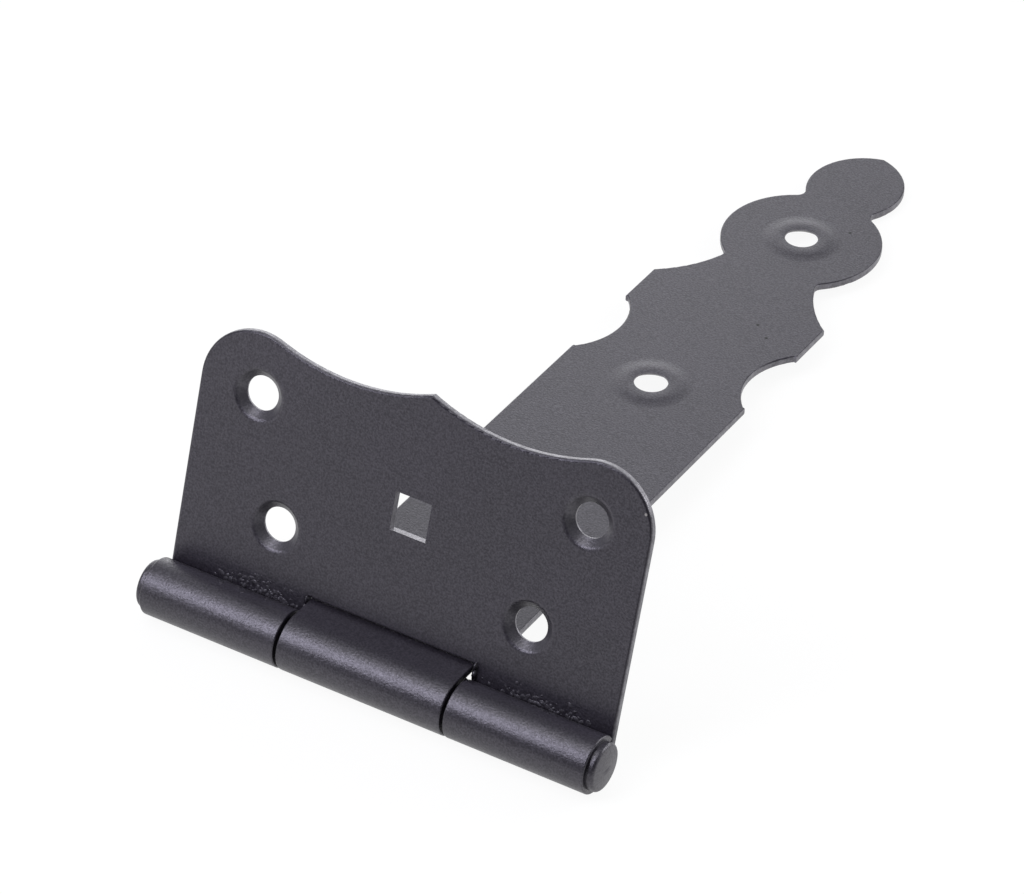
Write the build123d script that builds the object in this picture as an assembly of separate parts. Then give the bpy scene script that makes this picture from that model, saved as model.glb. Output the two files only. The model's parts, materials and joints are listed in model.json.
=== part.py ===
"""Tee hinge: a wide plate leaf and a long ornamental strap leaf, both rolled from sheet round one rivet pin.

Each leaf is first made flat in its own frame: the pin axis is the X axis, the leaf runs along +Y,
its back face is the plane z = KNUCKLE_RADIUS and its front face lies one sheet thickness below that.
The hinge is then folded backwards on to its stop and stood on the barrel and the strap's tip.
"""

import math
import os

from build123d import *

# Sheet, pin and knuckles (mm)
SHEET = 1.5
FRONT_ROUND = 0.5  # edges of the punched sheet, drawn in on the front
BACK_ROUND = 0.25  # and only softened on the back and round the knuckles' ends
PIN_DIAMETER = 7.2
PIN_CLEARANCE = 0.1  # radial, between the pin and the rolled sheet
HEAD_OVERHANG = 0.75  # pin heads beyond the pin's own radius
HEAD_RIM = 1.35  # straight part of a head's height
HEAD_DOME = 0.35  # rise of a head's face above its rim
HEAD_ROUND = 0.6
KNUCKLE_GAP = 0.6  # side gap between neighbouring knuckles
ROLL_GAP = 0.2  # left open where the rolled sheet comes back to its own leaf
STOP_CLEARANCE = 0.05  # between the leaves where they rest on each other

# Pressed countersunk holes
HOLE_DIAMETER = 6.2
HOLE_LAND = 0.35  # straight wall behind the countersink
SINK_RIM = 1.5  # width of the countersink's cone, seen from the front
SINK_ROUND = 1.2
BOSS_WIDTH = 3.6  # raised ring round the hole on the back
BOSS_LIP = 0.22  # height of that ring at the hole
BOSS_BULGE = 0.16  # height of its crest above a straight slope
BOSS_ROUND = 9.0  # soft foot of the ring

# Plate leaf
PLATE_WIDTH = 87.6
PLATE_REACH = 49.6  # pin axis to the top of the corners
CORNER_RADIUS = 10.6
SCALLOP_DEPTH = 2.8  # lowest place of the scallops below the corners
CUSP_RISE = 0.35  # cusp above the corners
NOTCH_REACH = 6.85  # pin axis to the notch edge, which is the stop
NOTCH_ROUND = 0.5  # inside corners of the notch
UPPER_HOLE_INSET = 11.7  # from the plate's side
UPPER_HOLE_DROP = 10.9  # from the plate's top
LOWER_HOLE_INSET = 19.0  # from the plate's side
LOWER_HOLE_REACH = 17.0  # from the pin axis
SQUARE_SIDE = 7.0

# Strap leaf, its stations in order from the pin axis to the tip
STRAP_WIDTH = 35.7
KNUCKLE_SETBACK = 1.65  # middle knuckle's ends, in from the strap's edges
SHOULDER_CLEARANCE = 1.15  # strap's full width starts this far past the resting plate
SHANK_LENGTH = 95.3  # pin axis to the first corner of the bite
NEAR_HOLE_SETBACK = 2.8  # near hole, back from that corner
BITE_LENGTH = 18.8
BITE_DEPTH = 4.2
BITE_STEP = 0.5
STEP_ROUND = 0.4  # outer corner of the step nearer the barrel
LAND_LENGTH = 10.4  # bite to the start of the taper
TAPER_SAG = 1.1
TAPER_END_WIDTH = 19.0
DISC_SETBACK = 23.9  # start of the taper to the disc's centre, which is the far hole
DISC_RADIUS = 15.1
BUD_SETBACK = 21.1  # disc's centre to the bud's widest place
BUD_WIDTH = 18.0
BUD_RADIUS = 12.0
NECK_ROUND = 1.8

# Knuckles, worked out from the sizes above
BORE_RADIUS = PIN_DIAMETER / 2 + PIN_CLEARANCE
KNUCKLE_RADIUS = BORE_RADIUS + SHEET
MIDDLE_KNUCKLE = STRAP_WIDTH - 2 * KNUCKLE_SETBACK
NOTCH_WIDTH = MIDDLE_KNUCKLE + 2 * KNUCKLE_GAP
OUTER_KNUCKLE = (PLATE_WIDTH - NOTCH_WIDTH) / 2
OUTER_KNUCKLE_X = (NOTCH_WIDTH + OUTER_KNUCKLE) / 2
ROLL_TURN = 360 - math.degrees(math.acos((BORE_RADIUS - ROLL_GAP) / KNUCKLE_RADIUS))

# Holes
HOLE_RADIUS = HOLE_DIAMETER / 2
SINK_RADIUS = HOLE_RADIUS + SINK_RIM
SINK_DEPTH = SHEET + BOSS_LIP - HOLE_LAND
BOSS_RADIUS = HOLE_RADIUS + BOSS_WIDTH
UPPER_HOLE_X = PLATE_WIDTH / 2 - UPPER_HOLE_INSET
UPPER_HOLE_REACH = PLATE_REACH - UPPER_HOLE_DROP
LOWER_HOLE_X = PLATE_WIDTH / 2 - LOWER_HOLE_INSET
SQUARE_REACH = (UPPER_HOLE_REACH + LOWER_HOLE_REACH) / 2
NEAR_HOLE_REACH = SHANK_LENGTH - NEAR_HOLE_SETBACK

# Strap stations
BITE_END = SHANK_LENGTH + BITE_LENGTH
TAPER_START = BITE_END + LAND_LENGTH
FAR_HOLE_REACH = TAPER_START + DISC_SETBACK
BUD_REACH = FAR_HOLE_REACH + BUD_SETBACK
BUD_CENTRE_X = BUD_RADIUS - BUD_WIDTH / 2
TIP_REACH = BUD_REACH + math.sqrt(BUD_RADIUS**2 - BUD_CENTRE_X**2)

# Angle between the leaves at the stop, where the notch's back edge meets the strap's back face
NOTCH_DISTANCE = math.hypot(NOTCH_REACH, KNUCKLE_RADIUS)
STOP_ANGLE = math.degrees(
    math.atan2(KNUCKLE_RADIUS, NOTCH_REACH)
    + math.asin((KNUCKLE_RADIUS + STOP_CLEARANCE) / NOTCH_DISTANCE)
)
# The strap slopes down from the barrel until its tip meets the table that the barrel stands on
TIP_DISTANCE = math.hypot(TIP_REACH, BORE_RADIUS)
STRAP_SLOPE = math.degrees(
    math.atan2(BORE_RADIUS, TIP_REACH) + math.asin(KNUCKLE_RADIUS / TIP_DISTANCE)
)


def both_sides(half):
    """The right half of an outline together with its mirror image."""
    return half + mirror(half, about=Plane.YZ)


def plate_outline():
    """Flat outline of the plate leaf, from the pin axis up to the scalloped top edge."""
    side = PLATE_WIDTH / 2
    notch = NOTCH_WIDTH / 2
    corner = Vector(side - CORNER_RADIUS, PLATE_REACH - CORNER_RADIUS)
    # The scallop passes through the cusp and runs smoothly into the corner's arc
    rise = SCALLOP_DEPTH + CUSP_RISE
    share = CUSP_RISE / rise
    reach = corner.X**2 - SCALLOP_DEPTH * (CUSP_RISE + 2 * CORNER_RADIUS)
    scallop_x = reach / (corner.X + math.sqrt(corner.X**2 - share * reach))
    scallop_radius = (scallop_x**2 + rise**2) / (2 * rise)
    scallop_low = Vector(scallop_x, PLATE_REACH - SCALLOP_DEPTH)
    to_scallop = scallop_low + Vector(0, scallop_radius) - corner
    corner_arc = CenterArc(corner, CORNER_RADIUS, 0, math.degrees(math.atan2(to_scallop.Y, to_scallop.X)))
    cusp = (0, PLATE_REACH + CUSP_RISE)
    half = make_face(
        Polyline(cusp, (0, NOTCH_REACH), (notch, NOTCH_REACH), (notch, 0), (side, 0), (side, corner.Y))
        + corner_arc
        + ThreePointArc(corner_arc @ 1, scallop_low, cusp)
    )
    outline = both_sides(half)

    def in_notch(corner):
        return math.isclose(corner.Y, NOTCH_REACH) and math.isclose(abs(corner.X), notch)

    return fillet(outline.vertices().filter_by(in_notch), NOTCH_ROUND)


def bite():
    """Round bite with a small square step at each end, in the strap's right edge."""
    edge = STRAP_WIDTH / 2
    inner = edge - BITE_STEP
    outer = edge + BITE_DEPTH
    deepest = (edge - BITE_DEPTH, (SHANK_LENGTH + BITE_END) / 2)
    return make_face(
        Polyline((inner, SHANK_LENGTH), (outer, SHANK_LENGTH), (outer, BITE_END), (inner, BITE_END))
        + ThreePointArc((inner, BITE_END), deepest, (inner, SHANK_LENGTH))
    )


def strap_outline():
    """Flat outline of the strap leaf, from the pin axis to the tip of the bud."""
    edge = STRAP_WIDTH / 2
    neck = MIDDLE_KNUCKLE / 2
    shoulder = NOTCH_REACH + SHOULDER_CLEARANCE
    disc_centre = Vector(0, FAR_HOLE_REACH)
    taper_end_x = TAPER_END_WIDTH / 2
    taper_end = (taper_end_x, FAR_HOLE_REACH - math.sqrt(DISC_RADIUS**2 - taper_end_x**2))
    shank = make_face(
        Polyline(disc_centre, (0, 0), (neck, 0), (neck, shoulder), (edge, shoulder), (edge, TAPER_START))
        + SagittaArc((edge, TAPER_START), taper_end, TAPER_SAG)
        + Line(taper_end, disc_centre)
    )
    disc = Pos(disc_centre) * Circle(DISC_RADIUS)
    bud_side = Pos(-BUD_CENTRE_X, BUD_REACH) * Circle(BUD_RADIUS)
    bud = bud_side & mirror(bud_side, about=Plane.YZ)
    outline = both_sides(shank - bite()) + disc + bud

    def on_disc(corner):
        return math.isclose((corner.center() - disc_centre).length, DISC_RADIUS, rel_tol=1e-6)

    def on_step(corner):
        return math.isclose(corner.Y, SHANK_LENGTH) and math.isclose(abs(corner.X), edge)

    outline = fillet(outline.vertices().filter_by(on_disc), NECK_ROUND)
    return fillet(outline.vertices().filter_by(on_step), STEP_ROUND)


def rolled(outline, knuckle_centres, knuckle_length):
    """Leaf of sheet with the given outline, its end rolled into knuckles and its cut edges softened."""
    outside = CenterArc((0, 0), KNUCKLE_RADIUS, 90, ROLL_TURN)
    inside = CenterArc((0, 0), BORE_RADIUS, 90, ROLL_TURN)
    section = make_face(outside + Line(outside @ 1, inside @ 1) + inside + Line(inside @ 0, outside @ 0))
    knuckle = extrude(Plane.YZ * section, knuckle_length / 2, both=True)
    leaf = Pos(0, 0, BORE_RADIUS) * extrude(outline, SHEET)
    for x in knuckle_centres:
        leaf += Pos(x, 0, 0) * knuckle

    def cut_edge(edge):
        return edge.bounding_box().max.Y > FRONT_ROUND

    front = leaf.faces().filter_by(Axis.Z).sort_by(Axis.Z)[0]
    leaf = fillet(front.edges().filter_by(cut_edge), FRONT_ROUND)

    def knuckle_end(edge):
        return math.isclose(edge.radius, KNUCKLE_RADIUS)

    back = leaf.faces().filter_by(Axis.Z).sort_by(Axis.Z)[-1]
    ends = leaf.edges().filter_by(GeomType.CIRCLE).filter_by(knuckle_end)
    return fillet(back.edges().filter_by(cut_edge) + ends, BACK_ROUND)


def with_screw_holes(leaf, places):
    """The leaf with pressed countersunk holes: a cone from the front, a low raised ring on the back."""
    ring_section = make_face(
        Polyline((HOLE_RADIUS, BOSS_LIP), (0, BOSS_LIP), (0, 0), (BOSS_RADIUS, 0))
        + SagittaArc((HOLE_RADIUS, BOSS_LIP), (BOSS_RADIUS, 0), BOSS_BULGE)
    )
    ring = Pos(0, 0, KNUCKLE_RADIUS) * revolve(Plane.XZ * ring_section, Axis.Z)
    upright = (Align.CENTER, Align.CENTER, Align.MIN)
    sink = Pos(0, 0, BORE_RADIUS) * Cone(SINK_RADIUS, HOLE_RADIUS, SINK_DEPTH, align=upright)
    sink += Pos(0, 0, BORE_RADIUS + SINK_DEPTH) * Cylinder(HOLE_RADIUS, SHEET + BOSS_BULGE, align=upright)
    for x, y in places:
        leaf = leaf + Pos(x, y, 0) * ring - Pos(x, y, 0) * sink

    def circles(radius, height):
        return [
            edge
            for edge in leaf.edges().filter_by(GeomType.CIRCLE)
            if math.isclose(edge.radius, radius) and math.isclose(edge.arc_center.Z, height)
        ]

    feet = circles(BOSS_RADIUS, KNUCKLE_RADIUS)
    leaf = fillet(feet, BOSS_ROUND)
    rims = circles(SINK_RADIUS, BORE_RADIUS)
    return fillet(rims, SINK_ROUND)


def plate_leaf():
    leaf = rolled(plate_outline(), (-OUTER_KNUCKLE_X, OUTER_KNUCKLE_X), OUTER_KNUCKLE)
    square = Pos(0, SQUARE_REACH, KNUCKLE_RADIUS) * Box(SQUARE_SIDE, SQUARE_SIDE, 3 * SHEET)
    upper = [(-UPPER_HOLE_X, UPPER_HOLE_REACH), (UPPER_HOLE_X, UPPER_HOLE_REACH)]
    lower = [(-LOWER_HOLE_X, LOWER_HOLE_REACH), (LOWER_HOLE_X, LOWER_HOLE_REACH)]
    return with_screw_holes(leaf - square, upper + lower)


def strap_leaf():
    leaf = rolled(strap_outline(), [0], MIDDLE_KNUCKLE)
    return with_screw_holes(leaf, [(0, NEAR_HOLE_REACH), (0, FAR_HOLE_REACH)])


def hinge_pin():
    """Rivet pin along X with a low domed head at each end, seated on the outer knuckles' ends."""
    radius = PIN_DIAMETER / 2
    head_radius = radius + HEAD_OVERHANG
    seat = PLATE_WIDTH / 2
    rim_end = seat + HEAD_RIM
    dome_radius = (head_radius**2 + HEAD_DOME**2) / (2 * HEAD_DOME)
    dome_centre = (rim_end + HEAD_DOME - dome_radius, 0)
    dome = CenterArc(dome_centre, dome_radius, 0, math.degrees(math.asin(head_radius / dome_radius)))
    half_section = make_face(
        Polyline(dome @ 0, (0, 0), (0, radius), (seat, radius), (seat, head_radius), dome @ 1) + dome
    )
    half = revolve(half_section, Axis.X)
    pin = half + mirror(half, about=Plane.YZ)

    def head_rim(edge):
        return math.isclose(abs(edge.arc_center.X), rim_end)

    return fillet(pin.edges().filter_by(GeomType.CIRCLE).filter_by(head_rim), HEAD_ROUND)


# Folded to the stop and sloped as it stands, still about the pin axis
pieces = {
    "strap_leaf": Rot(X=-STRAP_SLOPE) * strap_leaf(),
    "plate_leaf": Rot(X=STOP_ANGLE - STRAP_SLOPE) * Rot(Y=180) * plate_leaf(),
    "hinge_pin": hinge_pin(),
}

# Origin at the middle of the footprint, on the table
box = Compound(list(pieces.values())).bounding_box()
pin_axis = Vector(-box.center().X, -box.center().Y, -box.min.Z)

os.makedirs("parts", exist_ok=True)
for name, piece in pieces.items():
    export_step(Pos(pin_axis) * piece, f"parts/{name}.step")
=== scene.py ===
"""Looks of the tee hinge: black fine-textured powder coat, studio light, and the photograph's camera."""

import json
import math
import random

import bmesh
import bpy
from mathutils import Matrix, Vector


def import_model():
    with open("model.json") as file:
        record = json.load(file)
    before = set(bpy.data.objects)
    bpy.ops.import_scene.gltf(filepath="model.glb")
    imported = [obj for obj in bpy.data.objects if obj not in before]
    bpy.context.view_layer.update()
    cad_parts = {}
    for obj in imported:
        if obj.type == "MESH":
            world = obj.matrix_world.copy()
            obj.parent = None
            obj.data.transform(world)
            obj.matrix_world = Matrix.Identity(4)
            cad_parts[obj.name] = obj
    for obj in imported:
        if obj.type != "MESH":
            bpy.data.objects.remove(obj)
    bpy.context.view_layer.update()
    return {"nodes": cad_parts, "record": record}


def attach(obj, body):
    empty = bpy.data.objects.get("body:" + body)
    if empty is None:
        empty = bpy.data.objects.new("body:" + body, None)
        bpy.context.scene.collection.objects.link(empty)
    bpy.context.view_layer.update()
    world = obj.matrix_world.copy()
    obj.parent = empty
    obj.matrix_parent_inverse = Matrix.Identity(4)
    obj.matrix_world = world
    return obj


MM = 0.001
ACROSS = Vector((1, 0, 0))  # along the pin

# Camera of the photograph
CAMERA_PLACE = (0.37334, -0.66466, 0.59691)
CAMERA_TURN = (51.655, -0.386, 31.308)  # degrees about X, Y and Z
CAMERA_LENS = 190.23
SENSOR_WIDTH = 36.0
CLIP_START = 10 * MM

# Powder coat
COAT_COLOUR = (0.0172, 0.0150, 0.0210)
COAT_SHEEN = (0.93, 0.90, 1.0)  # faint lavender cast of its reflections
COAT_IOR = 1.85
COAT_ROUGHNESS = 0.38
GRAIN_NOISE = (0.36 * MM, 2)  # size and detail
GRAIN_STOPS = (0.35, 0.65)  # of the noise, where the change begins and ends
GRAIN_HEIGHT = 0.05 * MM
GRAIN_DULL = 0.64  # share of the reflections that is left in the grain's pits
PEEL_NOISE = (0.9 * MM, 1)
PEEL_HEIGHT = 0.01 * MM
GLOSS_SPREAD = 0.05  # change of the roughness with the orange peel
CLOUD_NOISE = (14 * MM, 3)
CLOUD_STOPS = (0.3, 0.7)
CLOUD_SPREAD = 0.14  # change of the shade with the clouds
SEED_SHIFT = (1, 0.7, 1.3)  # of the noises from one coat to the next

# Edges of the sheet: a slant is 1 on the sheet's faces and 0 on its walls
FACE_SHINE = 0.5  # specular level
EDGE_SHINE = 1.0
EDGE_PAINTED_REFLECTION = (0.135, 0.132, 0.141)  # painted reflection: the cut walls lightened to stand in for the bright floor that they reflect
EDGE_SLANT = (0.65, 0.30)  # where an edge begins, and where it is full
EDGE_REACH = (7.0 * MM, 8.0 * MM)  # from the pin axis: the knuckles stay dark
# a noise that makes the painted reflection on the cut walls patchy
PATCH_NOISE = (1.5 * MM, 3)
PATCH_STOPS = (0.35, 0.65)
PATCH_LEAST = 0.45  # share of the painted reflection that is left in the dullest patches
ROUND_BEGIN = (0.97, 0.92)  # where the dull round beside a face begins, and where it is full
ROUND_END = (0.72, 0.80)  # where the round ends, and where it is still full
ROUND_SHEEN = (0.42, 0.41, 0.45)
HOLE_ROOM = 12 * MM  # round a screw hole's centre, where no round is dull
CONE_SLANT = (0.92, 0.80)  # where a screw hole's cone begins, and where it is full
# painted light: the cone of each screw hole gets a lighter colour where the lamps leave it in shade
CONE_PAINTED_LIGHT = (0.036, 0.034, 0.040)

# Lumps of paint
LUMP_STRETCH = (1.0, 1.8)  # length over width
LUMP_UNEVEN = (0.9, 1.1)  # scale of each of its points
LUMP_FINENESS = 2  # subdivisions

# Grit caught in the paint along the creases between the outer knuckles and the plate
GRIT_SEED = 7
LEFT_GRIT = 170  # number on each crease
RIGHT_GRIT = 110
GRIT_COLOUR = (0.024, 0.022, 0.027)
GRIT_ROUGHNESS = 0.54
GRIT_RADIUS = (0.20 * MM, 0.60 * MM)
GRIT_HEIGHT = (0.3, 0.9)  # as a share of its radius
SMALL_POWER = 2  # makes most grit small
LOW_POWER = 3  # makes most grit low
GRIT_SINK = 0.6  # share of its height below the surface
CREASE_REACH = 4.0 * MM  # pin axis to the lowest grit on the plate
CREASE_DEPTH = 3.5 * MM  # pin axis to just before the plate's face
LEFT_CREASE = (17.5 * MM, 36 * MM, 24 * MM)  # from the hinge's middle: first, last and densest grit
RIGHT_CREASE = (18 * MM, 42 * MM, 30 * MM)
LEFT_RISE = 1.2 * MM  # spread of the grit up the plate
RIGHT_RISE = 0.55 * MM
ROLL_SHARE = 0.3  # of the grit that sits on the knuckle's top
ROLL_LEAN = -22  # degrees from the plate's direction to that grit, towards the back
ROLL_SPREAD = 9
ROLL_START = 8.0 * MM  # pin axis to a place above that grit

# Paint in the gaps between the notch's sides and the middle knuckle
GAP_MIDDLE = 16.5 * MM  # from the middle of the hinge
GAP_REACH = (4.0 * MM, 6.4 * MM)  # from the pin axis, along the plate
GAP_DEPTH = (4.1 * MM, 4.9 * MM)  # from the pin axis, towards the back
GAP_LUMPS = 80
GAP_HEIGHT = (0.3, 0.7)  # as a share of the radius
LEFT_GAP_RADIUS = (0.40 * MM, 0.75 * MM)
RIGHT_GAP_RADIUS = (0.40 * MM, 0.95 * MM)

# Flaws in the coat: their places across and along a leaf, from the pin's middle
PINHOLES = ((10.3 * MM, 116.4 * MM), (7.0 * MM, 119.2 * MM), (6.6 * MM, 155.2 * MM))
PINHOLE_RADIUS = 0.4 * MM
PINHOLE_COLOUR = (0.004, 0.004, 0.004)
PINHOLE_SHEEN = (0.15, 0.15, 0.15)
CHIPS = ((41.95 * MM, 43.7 * MM),)
CHIP_RADIUS = 0.3 * MM
CHIP_COLOUR = (0.42, 0.40, 0.38)
FLAW_START = 20 * MM  # height above the pin axis from which a flaw's place is looked for

# Studio
FLOOR_HALF = 3.0  # half of its side
FLOOR_COLOUR = (0.09, 0.09, 0.09)
FLOOR_LIFT = 0.92
WORLD_FRONT = 0.08  # dim room on the camera's side
WORLD_BACK = 0.8  # bright backdrop behind the strap
WORLD_COLOUR = (0.96, 0.98, 1.0)

# Lights of the studio: aim, direction from the aim, distance, width, height, radiance and colour
BARREL = (0, -88 * MM, 5 * MM)
STRAP = (0, 10 * MM, 5 * MM)
LAVENDER = (0.90, 0.89, 1.0)
WHITE = (1, 1, 1)
LIGHTS = {
    "key": (BARREL, (-0.41, -0.55, 0.73), 0.55, 0.245, 0.30, 7.0, LAVENDER),
    "top": (BARREL, (-0.17, -0.18, 0.97), 0.9, 0.46, 0.38, 2.9, WHITE),
    "fill": (BARREL, (-0.70, -0.66, 0.27), 0.3, 0.13, 0.13, 1.0, WHITE),
    "back": (STRAP, (-0.67, 0.60, 0.44), 0.42, 0.40, 0.24, 0.75, WHITE),
    "rim": (STRAP, (-0.41, 0.91, 0.10), 1.6, 1.9, 0.3, 3.0, WHITE),
    "side": (STRAP, (0.65, 0.64, 0.41), 0.9, 0.5, 0.5, 4.2, WHITE),
}


def nodes_of(tree):
    """Cleared node tree with short calls to add and link nodes."""
    tree.nodes.clear()

    def add(kind, **settings):
        node = tree.nodes.new(kind)
        for name, value in settings.items():
            setattr(node, name, value)
        return node

    return add, tree.links.new


def ramp(add, link, value, start, end, bottom=0, top=1):
    """Level that goes from bottom to top while the value goes from start to end."""
    level = add("ShaderNodeMapRange")
    level.inputs["From Min"].default_value = start
    level.inputs["From Max"].default_value = end
    level.inputs["To Min"].default_value = bottom
    level.inputs["To Max"].default_value = top
    link(value, level.inputs["Value"])
    return level.outputs["Result"]


def product(add, link, first, *others):
    """Product of masks."""
    result = first
    for other in others:
        step = add("ShaderNodeMath", operation="MULTIPLY")
        link(result, step.inputs[0])
        link(other, step.inputs[1])
        result = step.outputs[0]
    return result


def two_tone(add, link, value, stops, first, second):
    """Colour that goes from the first to the second while the value goes from stop to stop."""
    tones = add("ShaderNodeValToRGB")
    for element, stop, colour in zip(tones.color_ramp.elements, stops, (first, second)):
        element.position = stop
        element.color = [*colour, 1]
    link(value, tones.inputs["Fac"])
    return tones.outputs["Color"]


def mixed(add, link, mask, under, over):
    """The colour over, where the mask is 1, and the linked colour under elsewhere."""
    mix = add("ShaderNodeMixRGB")
    mix.inputs["Color2"].default_value = (*over, 1)
    link(mask, mix.inputs["Fac"])
    link(under, mix.inputs["Color1"])
    return mix.outputs["Color"]


def spots(add, link, place, centres, radius):
    """Mask of round spots: 1 up to half of the radius from a centre, and 0 from the radius on."""
    nearest = None
    for centre in centres:
        apart = add("ShaderNodeVectorMath", operation="DISTANCE")
        apart.inputs[1].default_value = centre
        link(place.outputs["Object"], apart.inputs[0])
        if nearest is None:
            nearest = apart.outputs["Value"]
            continue
        closer = add("ShaderNodeMath", operation="MINIMUM")
        link(nearest, closer.inputs[0])
        link(apart.outputs["Value"], closer.inputs[1])
        nearest = closer.outputs[0]
    return ramp(add, link, nearest, radius, radius / 2)


def sheet_slant(add, link, place, sheet_normal):
    """Slant of the surface: 1 on the sheet's faces and 0 on its walls."""
    facing = add("ShaderNodeVectorMath", operation="DOT_PRODUCT")
    facing.inputs[1].default_value = sheet_normal
    link(place.outputs["Normal"], facing.inputs[0])
    slant = add("ShaderNodeMath", operation="ABSOLUTE")
    link(facing.outputs["Value"], slant.inputs[0])
    return slant.outputs[0]


def off_knuckles(add, link, place, pin_axis):
    """Mask of a leaf without its knuckles."""
    offset = add("ShaderNodeVectorMath", operation="SUBTRACT")
    offset.inputs[1].default_value = pin_axis
    link(place.outputs["Object"], offset.inputs[0])
    upright = add("ShaderNodeVectorMath", operation="MULTIPLY")
    upright.inputs[1].default_value = (0, 1, 1)
    link(offset.outputs["Vector"], upright.inputs[0])
    distance = add("ShaderNodeVectorMath", operation="LENGTH")
    link(upright.outputs["Vector"], distance.inputs[0])
    return ramp(add, link, distance.outputs["Value"], *EDGE_REACH)


def sheet_masks(add, link, place, patches, sheet_normal, pin_axis, holes):
    """Masks of the painted reflection on a leaf's cut walls, of the rounds beside its faces, and of the
    painted light on the cone of each screw hole.
    """
    slant = sheet_slant(add, link, place, sheet_normal)
    clear = off_knuckles(add, link, place, pin_axis)
    near_holes = spots(add, link, place, holes, HOLE_ROOM)
    past_holes = ramp(add, link, near_holes, 0, 1, bottom=1, top=0)

    # painted reflection of the bright floor on the cut walls, made patchy by a noise
    walls = ramp(add, link, slant, *EDGE_SLANT)
    patchiness = ramp(add, link, patches, *PATCH_STOPS, bottom=PATCH_LEAST)
    edge_reflection = product(add, link, walls, clear, patchiness)

    begun = ramp(add, link, slant, *ROUND_BEGIN)
    left = ramp(add, link, slant, *ROUND_END)
    rounds = product(add, link, begun, left, clear, past_holes)

    # mask of the painted light on the cone of each screw hole
    sunk = ramp(add, link, slant, *CONE_SLANT)
    cone_light = product(add, link, sunk, near_holes)
    return edge_reflection, rounds, cone_light


def coat(name, seed, colour=COAT_COLOUR, roughness=COAT_ROUGHNESS, sheet=None, flaws=None):
    """Black powder coat: fine grain over a soft orange peel, with slow changes of gloss and shade.

    A leaf's sheet is its normal, the pin's axis and the screw holes; its cut walls get a painted reflection
    and the cone of each screw hole painted light.
    Flaws are their centres, their radius, their colour and the tint of their reflections."""
    material = bpy.data.materials.new(name)
    material.use_nodes = True
    add, link = nodes_of(material.node_tree)
    output = add("ShaderNodeOutputMaterial")
    shader = add("ShaderNodeBsdfPrincipled")
    shader.inputs["IOR"].default_value = COAT_IOR
    link(shader.outputs["BSDF"], output.inputs["Surface"])

    place = add("ShaderNodeTexCoord")
    shift = add("ShaderNodeMapping")
    shift.inputs["Location"].default_value = [step * seed for step in SEED_SHIFT]
    link(place.outputs["Object"], shift.inputs["Vector"])

    def noise(size, detail):
        node = add("ShaderNodeTexNoise")
        node.inputs["Scale"].default_value = 1 / size
        node.inputs["Detail"].default_value = detail
        link(shift.outputs["Vector"], node.inputs["Vector"])
        return node.outputs["Fac"]

    grain = noise(*GRAIN_NOISE)
    peel = noise(*PEEL_NOISE)
    cloud = noise(*CLOUD_NOISE)

    dark = [(1 - CLOUD_SPREAD) * c for c in colour]
    light = [(1 + CLOUD_SPREAD) * c for c in colour]
    pits = [GRAIN_DULL * c for c in COAT_SHEEN]
    tint = two_tone(add, link, grain, GRAIN_STOPS, pits, COAT_SHEEN)
    grained = add("ShaderNodeMixRGB", blend_type="MULTIPLY")
    grained.inputs["Fac"].default_value = 1
    link(two_tone(add, link, cloud, CLOUD_STOPS, dark, light), grained.inputs["Color1"])
    link(tint, grained.inputs["Color2"])
    base = grained.outputs["Color"]
    if sheet:
        edge_reflection, rounds, cone_light = sheet_masks(add, link, place, noise(*PATCH_NOISE), *sheet)
        # painted light on the cone of each screw hole
        base = mixed(add, link, cone_light, base, CONE_PAINTED_LIGHT)
        # painted reflection of the bright floor on the cut walls, which also raises their specular level
        base = mixed(add, link, edge_reflection, base, EDGE_PAINTED_REFLECTION)
        tint = mixed(add, link, rounds, tint, ROUND_SHEEN)
        shine = ramp(add, link, edge_reflection, 0, 1, FACE_SHINE, EDGE_SHINE)
        link(shine, shader.inputs["Specular IOR Level"])
    if flaws:
        centres, radius, flaw_colour, flaw_sheen = flaws
        flaw = spots(add, link, place, centres, radius)
        base = mixed(add, link, flaw, base, flaw_colour)
        tint = mixed(add, link, flaw, tint, flaw_sheen)
    link(base, shader.inputs["Base Color"])
    link(tint, shader.inputs["Specular Tint"])
    gloss = ramp(add, link, peel, 0, 1, roughness - GLOSS_SPREAD, roughness + GLOSS_SPREAD)
    link(gloss, shader.inputs["Roughness"])

    soft = add("ShaderNodeBump")
    soft.inputs["Distance"].default_value = PEEL_HEIGHT
    link(peel, soft.inputs["Height"])
    fine = add("ShaderNodeBump")
    fine.inputs["Distance"].default_value = GRAIN_HEIGHT
    link(grain, fine.inputs["Height"])
    link(soft.outputs["Normal"], fine.inputs["Normal"])
    link(fine.outputs["Normal"], shader.inputs["Normal"])
    return material


def on_leaf(leaf, pin_axis, outward, places):
    """Points of a leaf's outward face, given across and along the leaf from the pin's middle."""
    along_leaf = outward.cross(ACROSS)
    points = []
    for across, along in places:
        start = pin_axis + across * ACROSS + along * along_leaf + FLAW_START * outward
        points.append(leaf.ray_cast(start, -outward)[1])
    return points


def screw_holes(mount, direction):
    """Centres of a mount's two screw holes, which lie apart along the direction."""
    half = mount["dims"]["pcd_mm"] / 2 * MM * direction
    centre = Vector(mount["pos_m"])
    return [centre - half, centre + half]


def lump(lumps, place, normal, radius, height, dice):
    """Uneven flat blob round a place of the surface that it sits on."""
    turn = normal.to_track_quat("Z", "Y").to_matrix().to_4x4()
    spin = Matrix.Rotation(dice.uniform(0, math.tau), 4, "Z")
    shape = Matrix.Diagonal((dice.uniform(*LUMP_STRETCH) * radius, radius, height, 1))
    ball = bmesh.ops.create_icosphere(lumps, subdivisions=LUMP_FINENESS, radius=1)["verts"]
    for vertex in ball:
        vertex.co *= dice.uniform(*LUMP_UNEVEN)
    bmesh.ops.transform(lumps, matrix=Matrix.Translation(place) @ turn @ spin @ shape, verts=ball)


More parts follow.
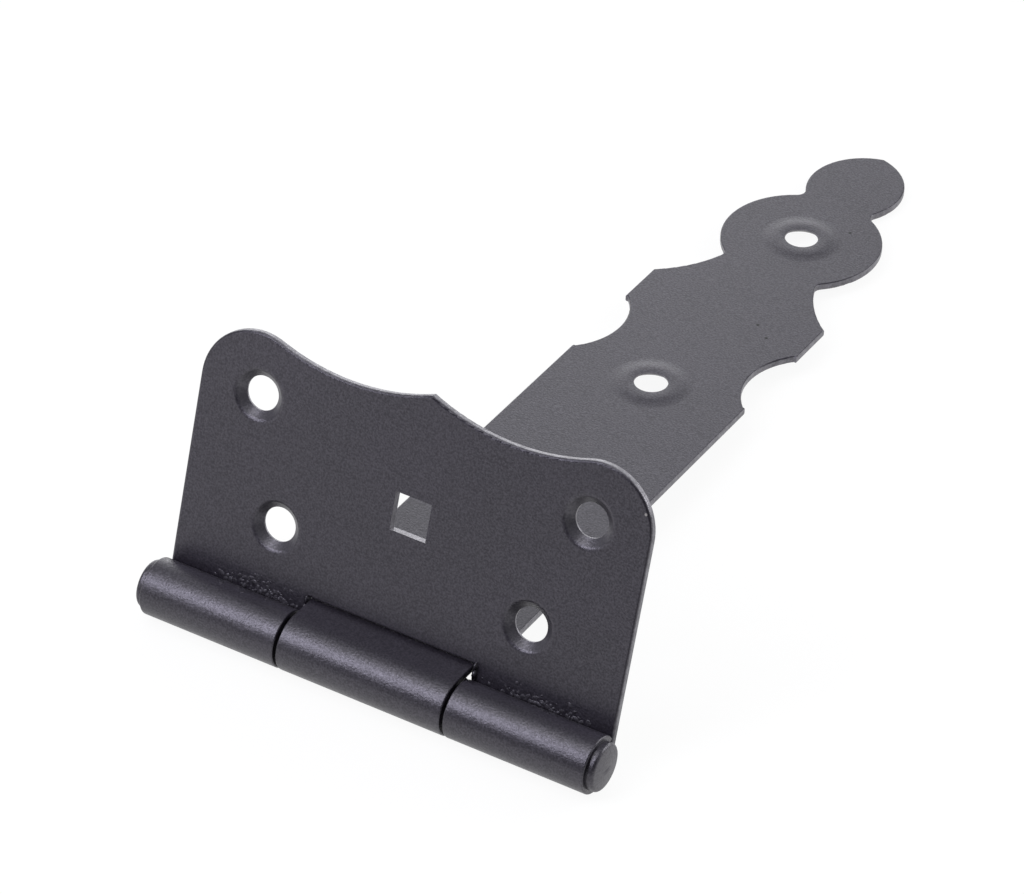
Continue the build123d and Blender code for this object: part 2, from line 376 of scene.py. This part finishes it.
def crease_grit(pin_axis, up, front, side, count, crease, rise):
    """Rays that place grit along one crease, with its radius and height.

    Some of it sits on the knuckle's top and the rest on the plate."""
    dice = random.Random(GRIT_SEED + side)
    smallest, largest = GRIT_RADIUS
    flattest, tallest = GRIT_HEIGHT
    for _ in range(count):
        radius = smallest + (largest - smallest) * dice.random() ** SMALL_POWER
        height = radius * (flattest + (tallest - flattest) * dice.random() ** LOW_POWER)
        on_axis = pin_axis + side * dice.triangular(*crease) * ACROSS
        if dice.random() < ROLL_SHARE:
            lean = math.radians(dice.gauss(ROLL_LEAN, ROLL_SPREAD))
            outward = math.cos(lean) * up + math.sin(lean) * front
            yield on_axis + ROLL_START * outward, -outward, radius, height
        else:
            reach = CREASE_REACH + abs(dice.gauss(0, rise))
            yield on_axis + reach * up - CREASE_DEPTH * front, -front, radius, height


def gap_paint(pin_axis, up, front, side, radius):
    """Rays that place lumps of paint on one side of the notch, with their radius and height."""
    dice = random.Random(GRIT_SEED)
    for _ in range(GAP_LUMPS):
        start = pin_axis + dice.uniform(*GAP_REACH) * up - dice.uniform(*GAP_DEPTH) * front
        start += side * GAP_MIDDLE * ACROSS
        size = dice.uniform(*radius)
        yield start, side * ACROSS, size, size * dice.uniform(*GAP_HEIGHT)


def paint_lumps(name, plate, rays, material, sink=0):
    """Lumps of paint on the plate, one where each ray meets it, sunk by a share of their height."""
    dice = random.Random(GRIT_SEED)
    lumps = bmesh.new()
    for start, direction, radius, height in rays:
        _, place, normal, _ = plate.ray_cast(start, direction)
        lump(lumps, place - sink * height * normal, normal, radius, height, dice)
    mesh = bpy.data.meshes.new(name)
    lumps.to_mesh(mesh)
    lumps.free()
    mesh.shade_smooth()
    mesh.materials.append(material)
    piece = bpy.data.objects.new(name, mesh)
    bpy.context.collection.objects.link(piece)
    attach(piece, "plate")


def floor():
    """Pale floor that keeps the hinge's shadow and is near white to the camera."""
    mesh = bpy.data.meshes.new("floor")
    corners = [(FLOOR_HALF * x, FLOOR_HALF * y, 0) for x, y in ((-1, -1), (1, -1), (1, 1), (-1, 1))]
    mesh.from_pydata(corners, [], [(0, 1, 2, 3)])
    plane = bpy.data.objects.new("floor", mesh)
    bpy.context.collection.objects.link(plane)

    material = bpy.data.materials.new("floor_pale")
    material.use_nodes = True
    add, link = nodes_of(material.node_tree)
    output = add("ShaderNodeOutputMaterial")
    paper = add("ShaderNodeBsdfDiffuse")
    paper.inputs["Color"].default_value = (*FLOOR_COLOUR, 1)
    lift = add("ShaderNodeEmission")
    path = add("ShaderNodeLightPath")
    seen = add("ShaderNodeMath", operation="MAXIMUM")
    link(path.outputs["Is Camera Ray"], seen.inputs[0])
    link(path.outputs["Is Glossy Ray"], seen.inputs[1])
    level = add("ShaderNodeMath", operation="MULTIPLY")
    level.inputs[1].default_value = FLOOR_LIFT
    link(seen.outputs[0], level.inputs[0])
    link(level.outputs[0], lift.inputs["Strength"])
    both = add("ShaderNodeAddShader")
    link(paper.outputs[0], both.inputs[0])
    link(lift.outputs[0], both.inputs[1])
    link(both.outputs[0], output.inputs["Surface"])
    mesh.materials.append(material)


def world():
    """Bright backdrop behind the strap that fades to a dim room in front."""
    surroundings = bpy.data.worlds.new("studio")
    bpy.context.scene.world = surroundings
    surroundings.use_nodes = True
    add, link = nodes_of(surroundings.node_tree)
    output = add("ShaderNodeOutputWorld")
    sky = add("ShaderNodeBackground")
    sky.inputs["Color"].default_value = (*WORLD_COLOUR, 1)
    place = add("ShaderNodeTexCoord")
    parts = add("ShaderNodeSeparateXYZ")
    link(place.outputs["Generated"], parts.inputs["Vector"])
    level = add("ShaderNodeMapRange", interpolation_type="SMOOTHSTEP")
    level.inputs["From Min"].default_value = -1
    level.inputs["From Max"].default_value = 1
    level.inputs["To Min"].default_value = WORLD_FRONT
    level.inputs["To Max"].default_value = WORLD_BACK
    link(parts.outputs["Y"], level.inputs["Value"])
    link(level.outputs["Result"], sky.inputs["Strength"])
    link(sky.outputs["Background"], output.inputs["Surface"])


def softbox(name, aim, direction, distance, width, height, radiance, colour):
    """Rectangular studio light that faces its aim."""
    lamp = bpy.data.lights.new(name, "AREA")
    lamp.shape = "RECTANGLE"
    lamp.size = width
    lamp.size_y = height
    lamp.energy = radiance * math.pi * width * height
    lamp.color = colour
    stand = bpy.data.objects.new(name, lamp)
    outward = Vector(direction).normalized()
    stand.location = Vector(aim) + distance * outward
    stand.rotation_euler = outward.to_track_quat("Z", "Y").to_euler()
    bpy.context.collection.objects.link(stand)


def camera():
    """Camera of the photograph, fitted to the hinge's outline."""
    data = bpy.data.cameras.new("camera")
    data.lens = CAMERA_LENS
    data.sensor_width = SENSOR_WIDTH
    data.clip_start = CLIP_START
    eye = bpy.data.objects.new("camera", data)
    eye.location = CAMERA_PLACE
    eye.rotation_euler = [math.radians(angle) for angle in CAMERA_TURN]
    bpy.context.collection.objects.link(eye)
    bpy.context.scene.camera = eye


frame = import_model()
nodes = frame["nodes"]
record = frame["record"]

# Directions and screw holes of the leaves
pin_axis = Vector(record["behaviour"]["joints"][0]["pos_m"])
mounts = {mount["name"]: mount for mount in record["mounts"]}
plate_front = Vector(mounts["plate_upper_screws"]["axis"])
plate_up = plate_front.cross(ACROSS)
strap_back = -Vector(mounts["strap_screws"]["axis"])
strap_holes = screw_holes(mounts["strap_screws"], strap_back.cross(ACROSS))
plate_holes = screw_holes(mounts["plate_upper_screws"], ACROSS)
plate_holes += screw_holes(mounts["plate_lower_screws"], ACROSS)

# Coats of the CAD pieces
plate = nodes["plate_leaf"]
pinholes = on_leaf(nodes["strap_leaf"], pin_axis, strap_back, PINHOLES)
chips = on_leaf(plate, pin_axis, plate_front, CHIPS)
strap_flaws = (pinholes, PINHOLE_RADIUS, PINHOLE_COLOUR, PINHOLE_SHEEN)
plate_flaws = (chips, CHIP_RADIUS, CHIP_COLOUR, COAT_SHEEN)
finishes = {
    "strap_leaf": coat("coat_strap_leaf", 0, sheet=(strap_back, pin_axis, strap_holes), flaws=strap_flaws),
    "plate_leaf": coat("coat_plate_leaf", 1, sheet=(plate_front, pin_axis, plate_holes), flaws=plate_flaws),
    "hinge_pin": coat("coat_hinge_pin", 2),
}
for name, finish in finishes.items():
    nodes[name].data.materials.clear()
    nodes[name].data.materials.append(finish)

# Grit and paint on the plate
grit_coat = coat("coat_grit", 3, GRIT_COLOUR, GRIT_ROUGHNESS)
left_grit = crease_grit(pin_axis, plate_up, plate_front, -1, LEFT_GRIT, LEFT_CREASE, LEFT_RISE)
right_grit = crease_grit(pin_axis, plate_up, plate_front, 1, RIGHT_GRIT, RIGHT_CREASE, RIGHT_RISE)
paint_lumps("grit_left", plate, left_grit, grit_coat, GRIT_SINK)
paint_lumps("grit_right", plate, right_grit, grit_coat, GRIT_SINK)
left_gap = gap_paint(pin_axis, plate_up, plate_front, -1, LEFT_GAP_RADIUS)
right_gap = gap_paint(pin_axis, plate_up, plate_front, 1, RIGHT_GAP_RADIUS)
paint_lumps("gap_paint_left", plate, left_gap, finishes["plate_leaf"])
paint_lumps("gap_paint_right", plate, right_gap, finishes["plate_leaf"])

# Studio and camera
world()
floor()
for name, settings in LIGHTS.items():
    softbox(name, *settings)
camera()
bpy.context.scene.view_settings.view_transform = "Standard"
